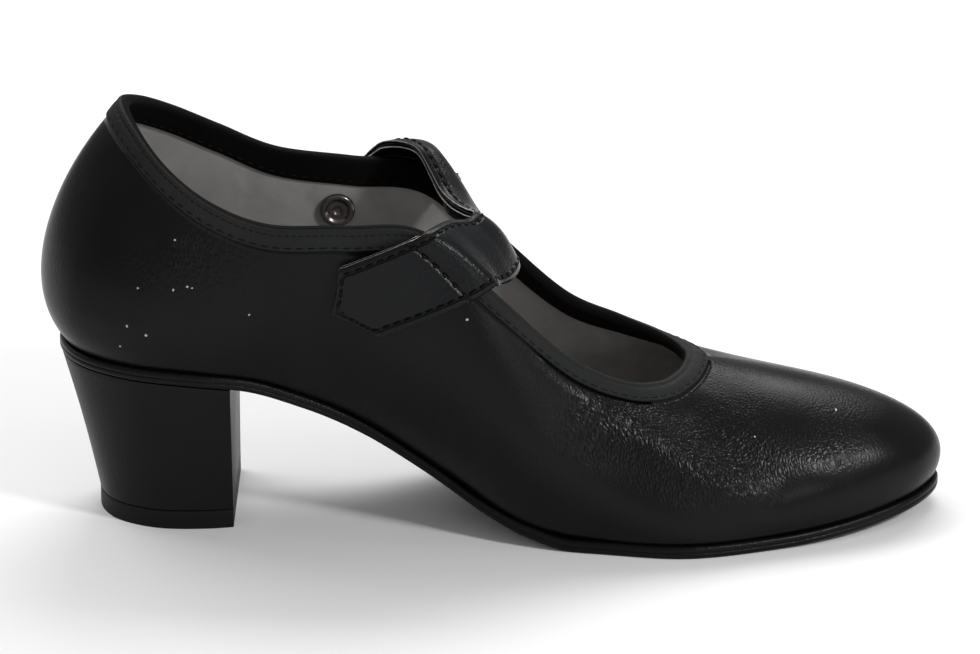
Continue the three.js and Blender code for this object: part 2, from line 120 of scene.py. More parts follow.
BACK_X = -(COUNTER_OVERHANG + HEEL_PITCH + (HEEL_SEAT_LENGTH - HEEL_PITCH) / 2)
BREAST_X = BACK_X + COUNTER_OVERHANG + HEEL_SEAT_LENGTH
print("shoe from x", BACK_X, "to", BACK_X + SHOE_LENGTH, "mm")

# %% Sections of the last, from heel to toe
LAST_COLUMNS = ("along", "width", "medial", "lateral", "lean", "lower", "rim_along", "rim",
                "height", "rise_medial", "rise_lateral", "bearing", "slope", "upper")
LAST_ROWS = [dict(zip(LAST_COLUMNS, row)) for row in [
    (0.0165, SEAT_WIDTH, 0, 0, 43, 0.27, 0.093, 0, COLLAR_HEIGHT, 0.975, 0.975, 180, 46, 0.44),
    (0.039, SEAT_WIDTH, 0.294, 0.294, 38, 0.28, 0.108, 0.163, COLLAR_HEIGHT, 0.918, 0.945, 140, 56, 0.45),
    (0.099, SEAT_WIDTH, 0.465, 0.46, 27, 0.29, 0.143, 0.31, COLLAR_HEIGHT, 0.805, 0.875, 116, 68, 0.4),
    (0.174, SEAT_WIDTH, 0.485, 0.495, 22, 0.31, 0.193, 0.402, COLLAR_HEIGHT, 0.71, 0.795, 99, 79, 0.36),
    (0.256, SEAT_WIDTH, 0.42, 0.5, 24, 0.32, 0.256, 0.455, QUARTER_HEIGHT, 0.674, 0.717, 93, 86, 0.34),
    (0.347, WAIST_WIDTH, 0.45, 0.544, 30, 0.33, 0.339, 0.483, QUARTER_HEIGHT, 0.815, 0.808, 90, 88, 0.33),
    (0.438, WAIST_WIDTH, 0.535, 0.6, 30, 0.33, 0.424, 0.5, QUARTER_HEIGHT, 0.987, 0.95, 86, 84, 0.33),
    (0.529, BALL_WIDTH, 0.415, 0.428, 22, 0.33, 0.504, 0.492, QUARTER_HEIGHT, 0.91, 0.846, 80, 68, 0.33),
    (0.62, BALL_WIDTH, 0.475, 0.494, 14, 0.33, 0.579, 0.427, QUARTER_HEIGHT, 0.697, 0.677, 70, 54, 0.34),
    (0.711, BALL_WIDTH, 0.512, 0.487, 9, 0.32, 0.64, 0.347, VAMP_HEIGHT, 0.99, 1.055, 58, 40, 0.35),
    (0.802, BALL_WIDTH, 0.447, 0.429, 10, 0.33, 0.681, 0.246, VAMP_HEIGHT, 0.915, 1.0, 44, 29, 0.37),
    (0.888, BALL_WIDTH, 0.349, 0.34, 18, 0.31, 0.703, 0.147, VAMP_HEIGHT, 0.895, 0.945, 29, 19, 0.39),
    (0.955, BALL_WIDTH, 0.222, 0.216, 25, 0.31, 0.7115, 0.078, VAMP_HEIGHT, 0.872, 0.888, 16, 14, 0.41),
    (0.988, BALL_WIDTH, 0.112, 0.108, 27, 0.31, 0.7145, 0.034, VAMP_HEIGHT, 0.855, 0.86, 8, 12, 0.41),
    (1, BALL_WIDTH, 0, 0, 28, 0.32, 0.715, 0, VAMP_HEIGHT, 0.845, 0.845, 0, 11, 0.41),
]]
LAST_ROW = len(LAST_ROWS) - 1
RING = 2 * LAST_ROW

# %% Underside of the sole, as shares of the heel height and the toe spring
SOLE_ROWS = [  # along, heel, toe
    (0.0165, 1, 0),
    (0.116, 0.962, 0),
    (0.215, 0.895, 0),
    (0.289, 0.762, 0),
    (0.355, 0.6, 0),
    (0.421, 0.395, 0),
    (0.488, 0.178, 0),
    (0.537, 0.062, 0),
    (0.587, 0, 0),
    (0.76, 0, 0),
    (0.826, 0, 0.06),
    (0.888, 0, 0.28),
    (0.95, 0, 0.62),
    (1, 0, 1),
]


# %% Two kinds of curve: one through a table that never overshoots, and one closed round the shoe
def curve_through(xs, ys):
    xs, ys = np.asarray(xs, float), np.asarray(ys, float)
    spans = np.diff(xs)
    grades = np.diff(ys) / spans
    inner = np.where(grades[:-1] * grades[1:] <= 0, 0,
                     2 * grades[:-1] * grades[1:] / np.where(grades[:-1] + grades[1:] == 0, 1,
                                                             grades[:-1] + grades[1:]))
    slopes = np.concatenate([grades[:1], inner, grades[-1:]])

    def at(x):
        x = np.asarray(x, float)
        i = np.clip(np.searchsorted(xs, x, side="left") - 1, 0, len(spans) - 1)
        t = np.clip((x - xs[i]) / spans[i], 0, 1)
        start_bend = (1 - t) * (slopes[i] - grades[i])
        end_bend = t * (slopes[i + 1] - grades[i])
        return ys[i] + spans[i] * t * (grades[i] + (1 - t) * (start_bend - end_bend))
    return at


def closed_curve(points, turn):
    points = np.asarray(points, float)
    count = len(points)
    place = (np.asarray(turn, float) % 1) * count
    first = np.floor(place).astype(int)
    t = (place - first)[..., None]
    before, here, there, after = (points[(first + step) % count] for step in (-1, 0, 1, 2))
    return (here * (2 * t**3 - 3 * t**2 + 1) + (there - before) / 2 * (t**3 - 2 * t**2 + t)
            + there * (3 * t**2 - 2 * t**3) + (after - here) / 2 * (t**3 - t**2))


def along_x(share):
    return BACK_X + share * SHOE_LENGTH


sole_bottom = curve_through([along_x(row[0]) for row in SOLE_ROWS],
                            [row[1] * HEEL_HEIGHT + row[2] * TOE_SPRING for row in SOLE_ROWS])


def sole_top(x):
    return sole_bottom(x) + SOLE_THICKNESS


print("sole underside at the waist", round(float(sole_bottom(40)), 1), "mm")

# %% The outline of the sole, drawn in by an inset
def ring_entry(place):
    inner = place <= LAST_ROW
    row = LAST_ROWS[place if inner else RING - place]
    side = -1 if inner else 1
    return row, side, row["medial" if inner else "lateral"], row["rise_medial" if inner else "rise_lateral"]


SOLE_EDGE = [(along_x(row["along"]), side * half * row["width"])
             for row, side, half, _ in map(ring_entry, range(RING))]


def plan_point(turn, inset):
    step = 1e-4
    point = closed_curve(SOLE_EDGE, turn)
    tangent = closed_curve(SOLE_EDGE, turn + step) - closed_curve(SOLE_EDGE, turn - step)
    tangent /= np.linalg.norm(tangent, axis=-1, keepdims=True)
    inset = np.asarray(inset, float)[..., None]
    return point + inset * np.stack([-tangent[..., 1], tangent[..., 0]], axis=-1)


# %% Wall sections: foot, swell, shoulder and rim of the leather at each place round the shoe
def wall_section(place):
    row, side, _, rise = ring_entry(place)
    plan, edge = plan_point(place / RING, SOLE_MARGIN), plan_point(place / RING, 0)
    foot = np.array([*plan, sole_top(plan[0]) + GAP])
    rim = np.array([along_x(row["rim_along"]), side * row["rim"] * COLLAR_WIDTH,
                    sole_top(along_x(row["along"])) + rise * row["height"]])
    chord = np.linalg.norm(rim - foot)
    lean, bearing, slope = (math.radians(row[key]) for key in ("lean", "bearing", "slope"))
    outward = np.array([*(edge - plan), 0])
    outward /= np.linalg.norm(outward)
    up = np.array([0, 0, 1])
    rim_outward = np.array([math.cos(bearing), side * math.sin(bearing), 0])
    swell = foot + row["lower"] * chord * (math.sin(lean) * outward + math.cos(lean) * up)
    shoulder = rim + row["upper"] * chord * (math.cos(slope) * rim_outward - math.sin(slope) * up)
    return foot, swell, shoulder, rim


WALL_CURVES = list(zip(*map(wall_section, range(RING))))


def wall(turn, height):
    turn, height = np.broadcast_arrays(np.asarray(turn, float), np.asarray(height, float))
    foot, swell, shoulder, rim = (closed_curve(points, turn) for points in WALL_CURVES)
    t = height[..., None]
    return (foot * (1 - t)**3 + 3 * swell * t * (1 - t)**2
            + 3 * shoulder * t**2 * (1 - t) + rim * t**3)


def wall_normal(turn, height):
    step = 1e-3
    around = wall(turn + step, height) - wall(turn - step, height)
    rising = wall(turn, height + step) - wall(turn, height - step)
    normal = np.cross(around, rising)
    return normal / np.linalg.norm(normal, axis=-1, keepdims=True)


def wall_lengths(turns):
    heights = np.linspace(1, 0, 241)
    line = wall(np.asarray(turns)[:, None], heights[None, :])
    steps = np.linalg.norm(np.diff(line, axis=1), axis=-1)
    return heights, np.concatenate([np.zeros((len(line), 1)), np.cumsum(steps, axis=1)], axis=1)


def leather(turns, depths, lift):
    """Points at depths below the rim, measured along the leather, and lifted off its face."""
    turns = np.asarray(turns, float)
    depths = np.asarray(depths, float) * np.ones((len(turns), 1))
    heights, lengths = wall_lengths(turns)
    height = np.stack([np.interp(d, run, heights) for d, run in zip(depths, lengths)])
    turn = turns[:, None] * np.ones_like(depths)
    normal = wall_normal(turn, height)
    points = wall(turn, height) + normal * (np.asarray(lift, float) * np.ones_like(depths))[..., None]
    over = wall(turns, np.ones_like(turns)) - wall(turns, np.full_like(turns, 1 - 1 / 60))
    over /= np.linalg.norm(over, axis=-1, keepdims=True)
    return points + np.where(depths < 0, -depths, 0)[..., None] * over[:, None, :], normal


print("girth of the throat rim", round(float(np.linalg.norm(np.diff(
    wall(np.linspace(0, 1, 400), 1.0), axis=0), axis=1).sum())), "mm")

# %% [markdown]
# ## Meshes from rows of points
#
# Leather work is drawn as rows of points that are joined into quads. That keeps the faces even,
# so that they shade smoothly, and every row can follow a seam or an edge of the real piece.


# %% Helpers that turn rows of points into pieces
def piece_from(name, points, faces, materials, face_materials=None):
    mesh = bpy.data.meshes.new(name)
    mesh.from_pydata([tuple(point * MM) for point in np.asarray(points, float)], [], faces)
    for material in materials:
        mesh.materials.append(material)
    if face_materials is not None:
        mesh.polygons.foreach_set("material_index", face_materials)
    mesh.polygons.foreach_set("use_smooth", [True] * len(mesh.polygons))
    mesh.validate()
    return put_in_scene(bpy.data.objects.new(name, mesh))


def grid_faces(rows, columns, rows_close, columns_close):
    i, j = np.meshgrid(np.arange(rows if rows_close else rows - 1),
                       np.arange(columns if columns_close else columns - 1), indexing="ij")
    i_next, j_next = (i + 1) % rows, (j + 1) % columns
    return np.stack([i * columns + j, i_next * columns + j,
                     i_next * columns + j_next, i * columns + j_next], axis=-1).reshape(-1, 4)


def point_attribute(piece, name, values):
    attribute = piece.data.attributes.new(name, "FLOAT", "POINT")
    attribute.data.foreach_set("value", np.asarray(values, float).ravel())


def settle(piece, node):
    """Turn a piece's faces outwards and let it stand for a node of the part."""
    check = bmesh.new()
    check.from_mesh(piece.data)
    volume = check.calc_volume(signed=True)
    open_edges = sum(not edge.is_manifold for edge in check.edges)
    check.free()
    if volume < 0:
        piece.data.flip_normals()
    print(piece.name, "faces", len(piece.data.polygons), "cm3", round(abs(volume) * 1e6, 2),
          "open", open_edges)
    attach(piece, "root")
    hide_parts(node)


# %% [markdown]
# ## Finishes
#
# Black leather is nearly black paint under a thin gloss. What the eye reads is its surface: a fine
# pebble grain, short wrinkles where the leather is stretched up from the sole, and a gloss that is
# broken by both. An image could show this, but bump from noise has no seams and no pixels.


# %% A small kit for shader nodes
def new_material(name):
    material = bpy.data.materials.new(name)
    material.use_nodes = True
    tree = material.node_tree
    return material, tree, tree.nodes["Principled BSDF"]


def add(tree, kind, inputs=None, **settings):
    node = tree.nodes.new(kind)
    for key, value in settings.items():
        setattr(node, key, value)
    for key, value in (inputs or {}).items():
        if hasattr(value, "is_output"):
            tree.links.new(value, node.inputs[key])
        else:
            node.inputs[key].default_value = value
    return node


def stretched(tree, scale):
    """Object coordinates times a scale per metre, smallest on the axis that a pattern runs along."""
    place = add(tree, "ShaderNodeTexCoord").outputs["Object"]
    return add(tree, "ShaderNodeMapping", {"Vector": place, "Scale": scale}).outputs["Vector"]


def noise(tree, scale, output="Fac", **settings):
    inputs = {"Vector": stretched(tree, scale), "Scale": 1.0, **settings}
    return add(tree, "ShaderNodeTexNoise", inputs).outputs[output]


def spread(tree, value, low, high, to_low, to_high):
    return add(tree, "ShaderNodeMapRange", {"Value": value, "From Min": low, "From Max": high,
                                            "To Min": to_low, "To Max": to_high}).outputs["Result"]


def bumped(tree, height, strength, distance, under=None):
    inputs = {"Height": height, "Strength": strength, "Distance": distance}
    if under is not None:
        inputs["Normal"] = under
    return add(tree, "ShaderNodeBump", inputs).outputs["Normal"]


def two_tone(tree, value, low, low_colour, high, high_colour):
    ramp = add(tree, "ShaderNodeValToRGB", {"Fac": value})
    for element, position, colour in zip(ramp.color_ramp.elements, (low, high),
                                         (low_colour, high_colour)):
        element.position = position
        element.color = (*colour, 1)
    return ramp.outputs["Color"]


def gloss(shader, specular, roughness=None):
    shader.inputs["Specular IOR Level"].default_value = specular
    if roughness is not None:
        shader.inputs["Roughness"].default_value = roughness


DUST = [  # x and z in the side view and radius, in millimetres
    (-4.7, 72.1, 0.30), (4.6, 71.9, 0.32), (8.3, 72.7, 0.34), (9.6, 72.4, 0.24), (-7.9, 61.3, 0.34),
    (-2.9, 59.0, 0.34), (-10.0, 55.0, 0.26), (24.4, 64.6, 0.30), (81.8, 65.7, 0.36), (79.2, 69.4, 0.30),
    (5.3, 85.1, 0.26), (180.7, 31.4, 0.26), (158.4, 28.5, 0.22),
]


def attribute_value(tree, name):
    return add(tree, "ShaderNodeAttribute", attribute_name=name,
               attribute_type="GEOMETRY").outputs["Fac"]


def maths(tree, operation, first, second):
    return add(tree, "ShaderNodeMath", {0: first, 1: second}, operation=operation).outputs[0]


MIX_COLOUR_A, MIX_COLOUR_B, MIX_COLOUR_RESULT = 6, 7, 2  # the Mix node's sockets for colours


def mixed(tree, factor, first, second):
    """Colour between two colours or sockets by a factor."""
    node = add(tree, "ShaderNodeMix", {"Factor": factor}, data_type="RGBA")
    for index, value in ((MIX_COLOUR_A, first), (MIX_COLOUR_B, second)):
        if hasattr(value, "is_output"):
            tree.links.new(value, node.inputs[index])
        else:
            node.inputs[index].default_value = (*value, 1)
    return node.outputs[MIX_COLOUR_RESULT]


def dust_mask(tree):
    flat = stretched(tree, (1 / MM, 0, 1 / MM))
    ragged = noise(tree, (1600, 1600, 1600))
    mask = 0.0
    for x, z, radius in DUST:
        away = add(tree, "ShaderNodeVectorMath", {0: flat, 1: (x, 0, z)},
                   operation="DISTANCE").outputs["Value"]
        reach = spread(tree, ragged, 0.35, 0.65, radius * 0.5, radius * 1.3)
        mask = maths(tree, "MAXIMUM", maths(tree, "LESS_THAN", away, reach), mask)
    place = add(tree, "ShaderNodeTexCoord").outputs["Object"]
    across = add(tree, "ShaderNodeSeparateXYZ", {"Vector": place}).outputs["Y"]
    return maths(tree, "MULTIPLY", mask, maths(tree, "LESS_THAN", across, 0.0))


# %% Black leather, with sunk seams and dust where they are asked for
PEBBLE_DEPTH, FOLD_DEPTH = 0.60, 0.8  # shares of a leather's wrinkle
GROOVE_DEPTH, GROOVE_SHADE = 0.35, 0.25
FAR_FROM_SEAM = 9.0
DUST_GREY = (0.42, 0.41, 0.38)


def black_leather(name, colour, grain, wrinkle, roughness, specular=0.13, specular_tint=1.0,
                  wrinkle_map=None, dusty=False, grooves=()):
    """Dyed leather: pores, upright pebbles and folds that are deeper in patches."""
    material, tree, shader = new_material(name)
    waver = noise(tree, (500, 500, 260), "Color", Detail=1.0)
    swayed = add(tree, "ShaderNodeVectorMath", {0: stretched(tree, (1000, 1000, 430)), 1: waver},
                 operation="ADD").outputs["Vector"]
    cells = add(tree, "ShaderNodeTexVoronoi", {"Vector": swayed, "Scale": 1.0},
                feature="DISTANCE_TO_EDGE").outputs["Distance"]
    pebbles = spread(tree, cells, 0.0, 0.35, 0.0, 1.0)
    folds = noise(tree, (520, 520, 130), Detail=2.0, Roughness=0.5, Distortion=0.8)
    patches = noise(tree, (45, 45, 36), Detail=2.0)
    amount = spread(tree, patches, 0.35, 0.65, 0.55, 1.0)
    if wrinkle_map:
        amount = maths(tree, "MULTIPLY", amount, attribute_value(tree, wrinkle_map))
    normal = bumped(tree, noise(tree, (2600, 2600, 2600)), 0.5, grain * MM)
    for pattern, depth in ((pebbles, PEBBLE_DEPTH), (folds, FOLD_DEPTH)):
        height = maths(tree, "MULTIPLY", pattern, amount)
        normal = bumped(tree, height, 1.0, wrinkle * depth * MM, normal)
    tint = mixed(tree, spread(tree, patches, 0.3, 0.7, 0.0, 1.0),
                 [0.8 * value for value in colour], [1.2 * value for value in colour])
    if grooves:
        off_seam = FAR_FROM_SEAM
        for attribute, place in grooves:
            away = maths(tree, "SUBTRACT", attribute_value(tree, attribute), place)
            off_seam = maths(tree, "MINIMUM", maths(tree, "ABSOLUTE", away, 0.0), off_seam)
        sunk = spread(tree, off_seam, 0.15, 0.75, 0.0, 1.0)
        normal = bumped(tree, sunk, 1.0, GROOVE_DEPTH * MM, normal)
        tint = mixed(tree, sunk, [GROOVE_SHADE * value for value in colour], tint)
    rough = spread(tree, patches, 0.3, 0.7, roughness - 0.04, roughness + 0.05)
    if dusty:
        dust = dust_mask(tree)
        tint = mixed(tree, dust, tint, DUST_GREY)
        rough = maths(tree, "MAXIMUM", rough, dust)
    for value, socket in ((normal, "Normal"), (tint, "Base Color"), (rough, "Roughness")):
        tree.links.new(value, shader.inputs[socket])
    gloss(shader, specular)
    shader.inputs["Specular Tint"].default_value = (specular_tint, specular_tint, specular_tint, 1)
    return material


# %% The black leathers of the shoe
upper_black = black_leather("upper_leather", (0.0040, 0.0041, 0.0046), grain=0.03, wrinkle=0.25,
                            roughness=0.29, wrinkle_map="wrinkle", dusty=True)
# The band and the facing are one strip of leather. The band outside is painted four times lighter, as painted
# light, and the facing inside the collar is the darker copy with its reflection tinted down, as painted
# shade.
lit_binding_black = black_leather("binding_leather", (0.0170, 0.0175, 0.0175), grain=0.05, wrinkle=0.14,
                              roughness=0.55, specular=0.10, specular_tint=0.6)
shaded_facing_black = black_leather("facing_leather_painted_shade", (0.0040, 0.0040, 0.0040), grain=0.05, wrinkle=0.10,
                             roughness=0.65, specular=0.05, specular_tint=0.3)
strap_black = black_leather("strap_leather", (0.0070, 0.0074, 0.0082), grain=0.05, wrinkle=0.08,
                            roughness=0.26, grooves=(("edge_mm", STRAP_SEAM_INSET), ("cross_mm", 0.0)))
sole_black = black_leather("sole_edge", (0.0035, 0.0035, 0.0040), grain=0.05, wrinkle=0.08,
                           roughness=0.32)
heel_black = black_leather("heel_cover", (0.0045, 0.0045, 0.0052), grain=0.04, wrinkle=0.06,
                           roughness=0.40)
print("black leathers", len(bpy.data.materials))

# %% Grey lining, and pale raw edges of the leather that are partly a painted highlight
lining_grey, tree, shader = new_material("lining_leather")
cloud = noise(tree, (70, 70, 55), Detail=5.0, Roughness=0.6, Distortion=0.7)
nap = noise(tree, (1400, 1400, 1000), Detail=3.0)
greys = two_tone(tree, cloud, 0.36, (0.25, 0.243, 0.238), 0.64, (0.32, 0.31, 0.303))
tree.links.new(greys, shader.inputs["Base Color"])
tree.links.new(bumped(tree, nap, 0.3, 0.08 * MM), shader.inputs["Normal"])
gloss(shader, specular=0.25, roughness=0.72)

raw_edge_and_highlight, tree, shader = new_material("raw_leather_edge_and_highlight")
fibre = noise(tree, (700, 700, 1500), Detail=4.0)
# The cut edge's grey is its own colour, and its pale end is a painted highlight along the rounded edge.
pale = two_tone(tree, fibre, 0.3, (0.22, 0.22, 0.22), 0.7, (0.62, 0.62, 0.61))
tree.links.new(pale, shader.inputs["Base Color"])
tree.links.new(bumped(tree, fibre, 0.5, 0.1 * MM), shader.inputs["Normal"])
gloss(shader, specular=0.3, roughness=0.7)

# %% Thread, rubber and metal
thread_black, tree, shader = new_material("black_thread")
twist = add(tree, "ShaderNodeTexWave", {"Vector": stretched(tree, (1, 1, 1)), "Scale": 900.0,
                                        "Distortion": 1.5}, bands_direction="DIAGONAL").outputs["Fac"]
tree.links.new(bumped(tree, twist, 0.4, 0.05 * MM), shader.inputs["Normal"])
shader.inputs["Base Color"].default_value = (0.0022, 0.0022, 0.0026, 1)
gloss(shader, specular=0.12, roughness=0.5)

rubber_black, tree, shader = new_material("top_piece_rubber")
pores = noise(tree, (900, 900, 900), Detail=3.0)
tree.links.new(bumped(tree, pores, 0.3, 0.06 * MM), shader.inputs["Normal"])
shader.inputs["Base Color"].default_value = (0.004, 0.004, 0.0044, 1)
gloss(shader, specular=0.15, roughness=0.5)

snap_metal, tree, shader = new_material("gunmetal")
worn = noise(tree, (300, 300, 300), Detail=3.0)
greys = two_tone(tree, worn, 0.0, (0.10, 0.085, 0.085), 1.0, (0.20, 0.18, 0.19))
tree.links.new(greys, shader.inputs["Base Color"])
tree.links.new(spread(tree, worn, 0.3, 0.7, 0.22, 0.36), shader.inputs["Roughness"])
shader.inputs["Metallic"].default_value = 1
print("finishes", len(bpy.data.materials))

# %% [markdown]
# ## Upper
#
# On the real shoe the upper is cut flat, sewn, wetted and pulled over the last, so it is smooth
# where it is stretched and gathers where the last turns. Here it is one wall of rows between the
# rim and the sole. Creases are put on one by one as soft ridges and troughs, because noise would
# spread them evenly, and leather never creases evenly.

# %% Creases of the upper, in millimetres of the side view
CREASE_COLUMNS = ("side", "start", "middle", "end", "width", "height")
CREASES = [dict(zip(CREASE_COLUMNS, row)) for row in [
    (-1, (104, 52), (130, 33), (164, 9), 4.4, 1.25),
    (-1, (116, 47), (139, 34), (170, 17), 5.0, -0.70),
    (-1, (96, 47), (117, 28), (148, 8), 6.0, -0.60),
    (-1, (84, 44), (98, 30), (122, 14), 5.0, 0.25),
    (-1, (60, 46), (72, 37), (88, 25), 5.0, -0.25),
    (-1, (-22, 64), (-10, 60), (6, 60), 3.0, 0.20),
    (1, (105, 50), (130, 33), (160, 12), 5.0, 0.80),
    (1, (97, 46), (115, 29), (144, 11), 6.0, -0.40),
    (1, (84, 44), (98, 30), (122, 15), 5.0, 0.25),
    (1, (60, 48), (72, 38), (88, 26), 5.0, -0.20),
]]
CREASE_STEPS = 25


def crease_relief(points, normals):
    relief = np.zeros(points.shape[:-1])
    flat = points[..., [0, 2]]
    for crease in CREASES:
        t = np.linspace(0, 1, CREASE_STEPS)[:, None]
        start, middle, end = (np.array(crease[key], float) for key in ("start", "middle", "end"))
        path = start * (1 - t)**2 + 2 * middle * t * (1 - t) + end * t**2
        gaps = np.linalg.norm(flat[..., None, :] - path, axis=-1)
        nearest = gaps.argmin(axis=-1)
        fade = np.sin(np.pi * ((nearest + 1) / (CREASE_STEPS + 1)))**0.7
        facing = np.clip(crease["side"] * normals[..., 1] * 2, 0, 1)
        relief += crease["height"] * fade * facing * np.exp(-(gaps.min(axis=-1) / crease["width"])**2)
    return relief


# %% Where the leather wrinkles: over the vamp and the counter, faint where it is stretched flat
WRINKLE_PATCHES = [  # x, z, half length, half height, strength
    (122, 36, 18, 12, 0.9), (148, 24, 22, 12, 0.9), (178, 26, 14, 8, 0.5), (12, 80, 24, 12, 0.85),
    (30, 70, 26, 14, 0.6), (158, 42, 26, 6, 0.35),
]
FAINTEST_WRINKLE = 0.16


def wrinkle_at(points):
    amount = np.full(points.shape[:-1], FAINTEST_WRINKLE)
    for x, z, long, high, strength in WRINKLE_PATCHES:
        away = ((points[..., 0] - x) / long)**2 + ((points[..., 2] - z) / high)**2
        amount = np.maximum(amount, strength * np.exp(-away**1.5))
    return amount


# %% Rows of the upper's outer and inner face
UPPER_COLUMNS, ROWS_BELOW_RIM = 504, 56
CREASES_START, CREASES_END = 5, 4  # mm over which creases fade in below the band and above the sole
turns = np.arange(UPPER_COLUMNS) / UPPER_COLUMNS
_, run = wall_lengths(turns)
full_depth = run[:, -1:]
rim_rows = np.array([0, 0.25, 0.6, 1.2, 2, 3, BINDING_WIDTH, 5.2, FACING_WIDTH])
below = np.linspace(0, 1, ROWS_BELOW_RIM + 1)[1:] * np.ones((UPPER_COLUMNS, 1))
outer_depths = np.concatenate([rim_rows * np.ones((UPPER_COLUMNS, 1)),
                               FACING_WIDTH + below * (full_depth - FACING_WIDTH)], axis=1)
outer, normals = leather(turns, outer_depths, 0)
fade_in = (np.clip((outer_depths - BINDING_WIDTH) / CREASES_START, 0, 1)
           * np.clip((full_depth - outer_depths) / CREASES_END, 0, 1))
outer = outer + normals * (crease_relief(outer, normals) * fade_in)[..., None]
lowest_row = outer_depths.shape[1] - 1
inner_rows = np.concatenate([np.arange(len(rim_rows)), np.arange(len(rim_rows) + 1, lowest_row, 2),
                             [lowest_row]])
inner, _ = leather(turns, outer_depths[:, inner_rows], -UPPER_WALL)
inner[:, -1, 2] = sole_top(inner[:, -1, 0]) + GAP
loop = np.concatenate([outer, inner[:, ::-1]], axis=1)
faces = grid_faces(UPPER_COLUMNS, loop.shape[1], True, True)
row_of_face = np.tile(np.arange(loop.shape[1]), UPPER_COLUMNS)
is_lining = row_of_face >= outer.shape[1]
upper = piece_from("upper_leather", loop.reshape(-1, 3), faces.tolist(), [upper_black, lining_grey],
                   is_lining.astype(int))
point_attribute(upper, "wrinkle", wrinkle_at(loop))
settle(upper, "upper")

# %% [markdown]
# ## Binding
#
# The edge of the leather is never left raw. A thin strip is sewn face down along the edge, turned
# over it and sewn again, so that it shows as a narrow band outside and a wide black facing
# inside. Its rows follow the rim, as a swept profile would, but keep square to the leather.

# %% Binding along the collar and throat
BINDING_PROFILE = [  # depth below the rim, lift off the upper's outer face
    (BINDING_WIDTH + 0.15, 0.06), (BINDING_WIDTH + 0.12, 0.34), (BINDING_WIDTH - 0.05, 0.62),
    (BINDING_WIDTH - 0.45, 0.74), (BINDING_WIDTH - 0.85, 0.62), (BINDING_WIDTH - 1.25, 0.80),
    (2.4, 0.92), (1.75, 0.90), (1.35, 0.72), (1.0, 0.88), (0.45, 0.98), (0.0, 0.88), (-0.45, 0.52),
    (-0.78, -0.1), (-0.9, -0.9), (-0.78, -1.7), (-0.45, -2.3), (0, -2.62), (0.8, -2.7), (1.6, -2.7),
    (3.2, -2.7), (4.8, -2.7), (FACING_WIDTH - 0.5, -2.66), (FACING_WIDTH - 0.1, -2.5),
    (FACING_WIDTH, -2.12), (4.8, -2.1), (2.4, -2.1), (0.4, -2.1), (-0.28, -1.6), (-0.3, -0.9),
    (-0.28, -0.1), (0.0, 0.06), (2.4, 0.06),
]
BINDING_ROLL = 12  # the row where the band turns over into the facing
BINDING_COLUMNS = 640
turns = np.arange(BINDING_COLUMNS) / BINDING_COLUMNS
depths, lifts = np.array(BINDING_PROFILE).T
band, _ = leather(turns, depths, lifts)
faces = grid_faces(BINDING_COLUMNS, len(BINDING_PROFILE), True, True)
rows = np.tile(np.arange(len(BINDING_PROFILE)), BINDING_COLUMNS)
# The band outside gets the lighter copy and the facing inside gets the darker one: painted light and painted
# shade on one strip.
binding = piece_from("topline_band", band.reshape(-1, 3), faces.tolist(), [lit_binding_black, shaded_facing_black],
                     (rows >= BINDING_ROLL).astype(int))
settle(binding, "topline_binding")

# %% [markdown]
# ## Strap
#
# The bar is two leather strips with a dark stiff tape between them, glued and sewn together. Its
# inner end is sewn to the quarter, and it rises over the binding, bends across the instep and comes
# down on the outer side to its press stud. Rails along the strip carry all three layers, so that
# they stay the same width while they bend.

# %% Rails of the strap
TABS = {"medial": {"place": 6.45, "angle": 24.4, "ahead": 1},
        "lateral": {"place": RING - 5.93, "angle": 38, "ahead": -1}}
POINT_SHARE = STRAP_POINT / STRAP_TAB
TAB_ROWS = [  # down, half, lift
    (1, 0.03, 0), (1 - 0.5 * POINT_SHARE, 0.515, 0), (1 - POINT_SHARE, 1, 0.1),
    (1 - 1.3 * POINT_SHARE, 1, 0.2), (0.5, 1, 0.6), (0.28, 1, 1), (0.1, 1, 1), (-0.03, 1, 1),
]
BRIDGE_ROWS = [  # rear edge: across, bow, rise; front edge: across, bow, rise; crown
    (0.1, 0.53, 0.14, 0.1, 0.23, -0.45, 0),
    (0.22, 0.99, -0.28, 0.23, 0.54, -0.86, 0),
    (0.3, 1.22, -0.24, 0.36, 0.74, -0.85, 0),
    (0.39, 1.17, -0.44, 0.47, 0.67, -1.04, 0),
    (0.5, 1.04, -0.48, 0.59, 0.53, -1.06, 0),
    (0.6, 0.93, -0.2, 0.7, 0.36, -1.0, 0.2),
    (0.7, 0.85, 0.48, 0.77, 0.16, -0.82, 0.4),
    (0.81, 0.74, 1.2, 0.84, -0.14, -0.55, 0.6),
    (0.92, 0.54, 1.15, 0.92, -0.16, -0.02, 0.55),
    (0.98, 0.26, 0.88, 0.96, -0.02, 0.3, 0.2),
]
SHARES = np.linspace(-1, 1, 17)
CLEARANCE = 2 * GAP + BINDING_THICKNESS


def rim_crossing(tab, share):
    middle = wall(tab["place"] / RING, 1.0)
    tilt = math.radians(tab["angle"])
    low = tab["place"] / RING - tab["ahead"] * 2 / RING
    high = tab["place"] / RING + tab["ahead"] * 2 / RING
    for _ in range(30):
        turn = (low + high) / 2
        rim = wall(turn, 1.0)
        off = (rim[0] - middle[0]) * math.sin(tilt) - (rim[2] - middle[2]) * math.cos(tilt)
        low, high = (turn, high) if off < share * STRAP_WIDTH / 2 else (low, turn)
    return low


def wall_across(x, z, turn, lift):
    step, height = 1e-3, 1.0
    for _ in range(8):
        point = wall(turn, height)
        around = (wall(turn + step, height) - point) / step
        rising = (wall(turn, height + step) - point) / step
        area = around[0] * rising[2] - around[2] * rising[0]
        miss_x, miss_z = x - point[0], z - point[2]
        turn += (miss_x * rising[2] - miss_z * rising[0]) / area
        height += (around[0] * miss_z - around[2] * miss_x) / area
    return wall(turn, height) + wall_normal(turn, height) * lift


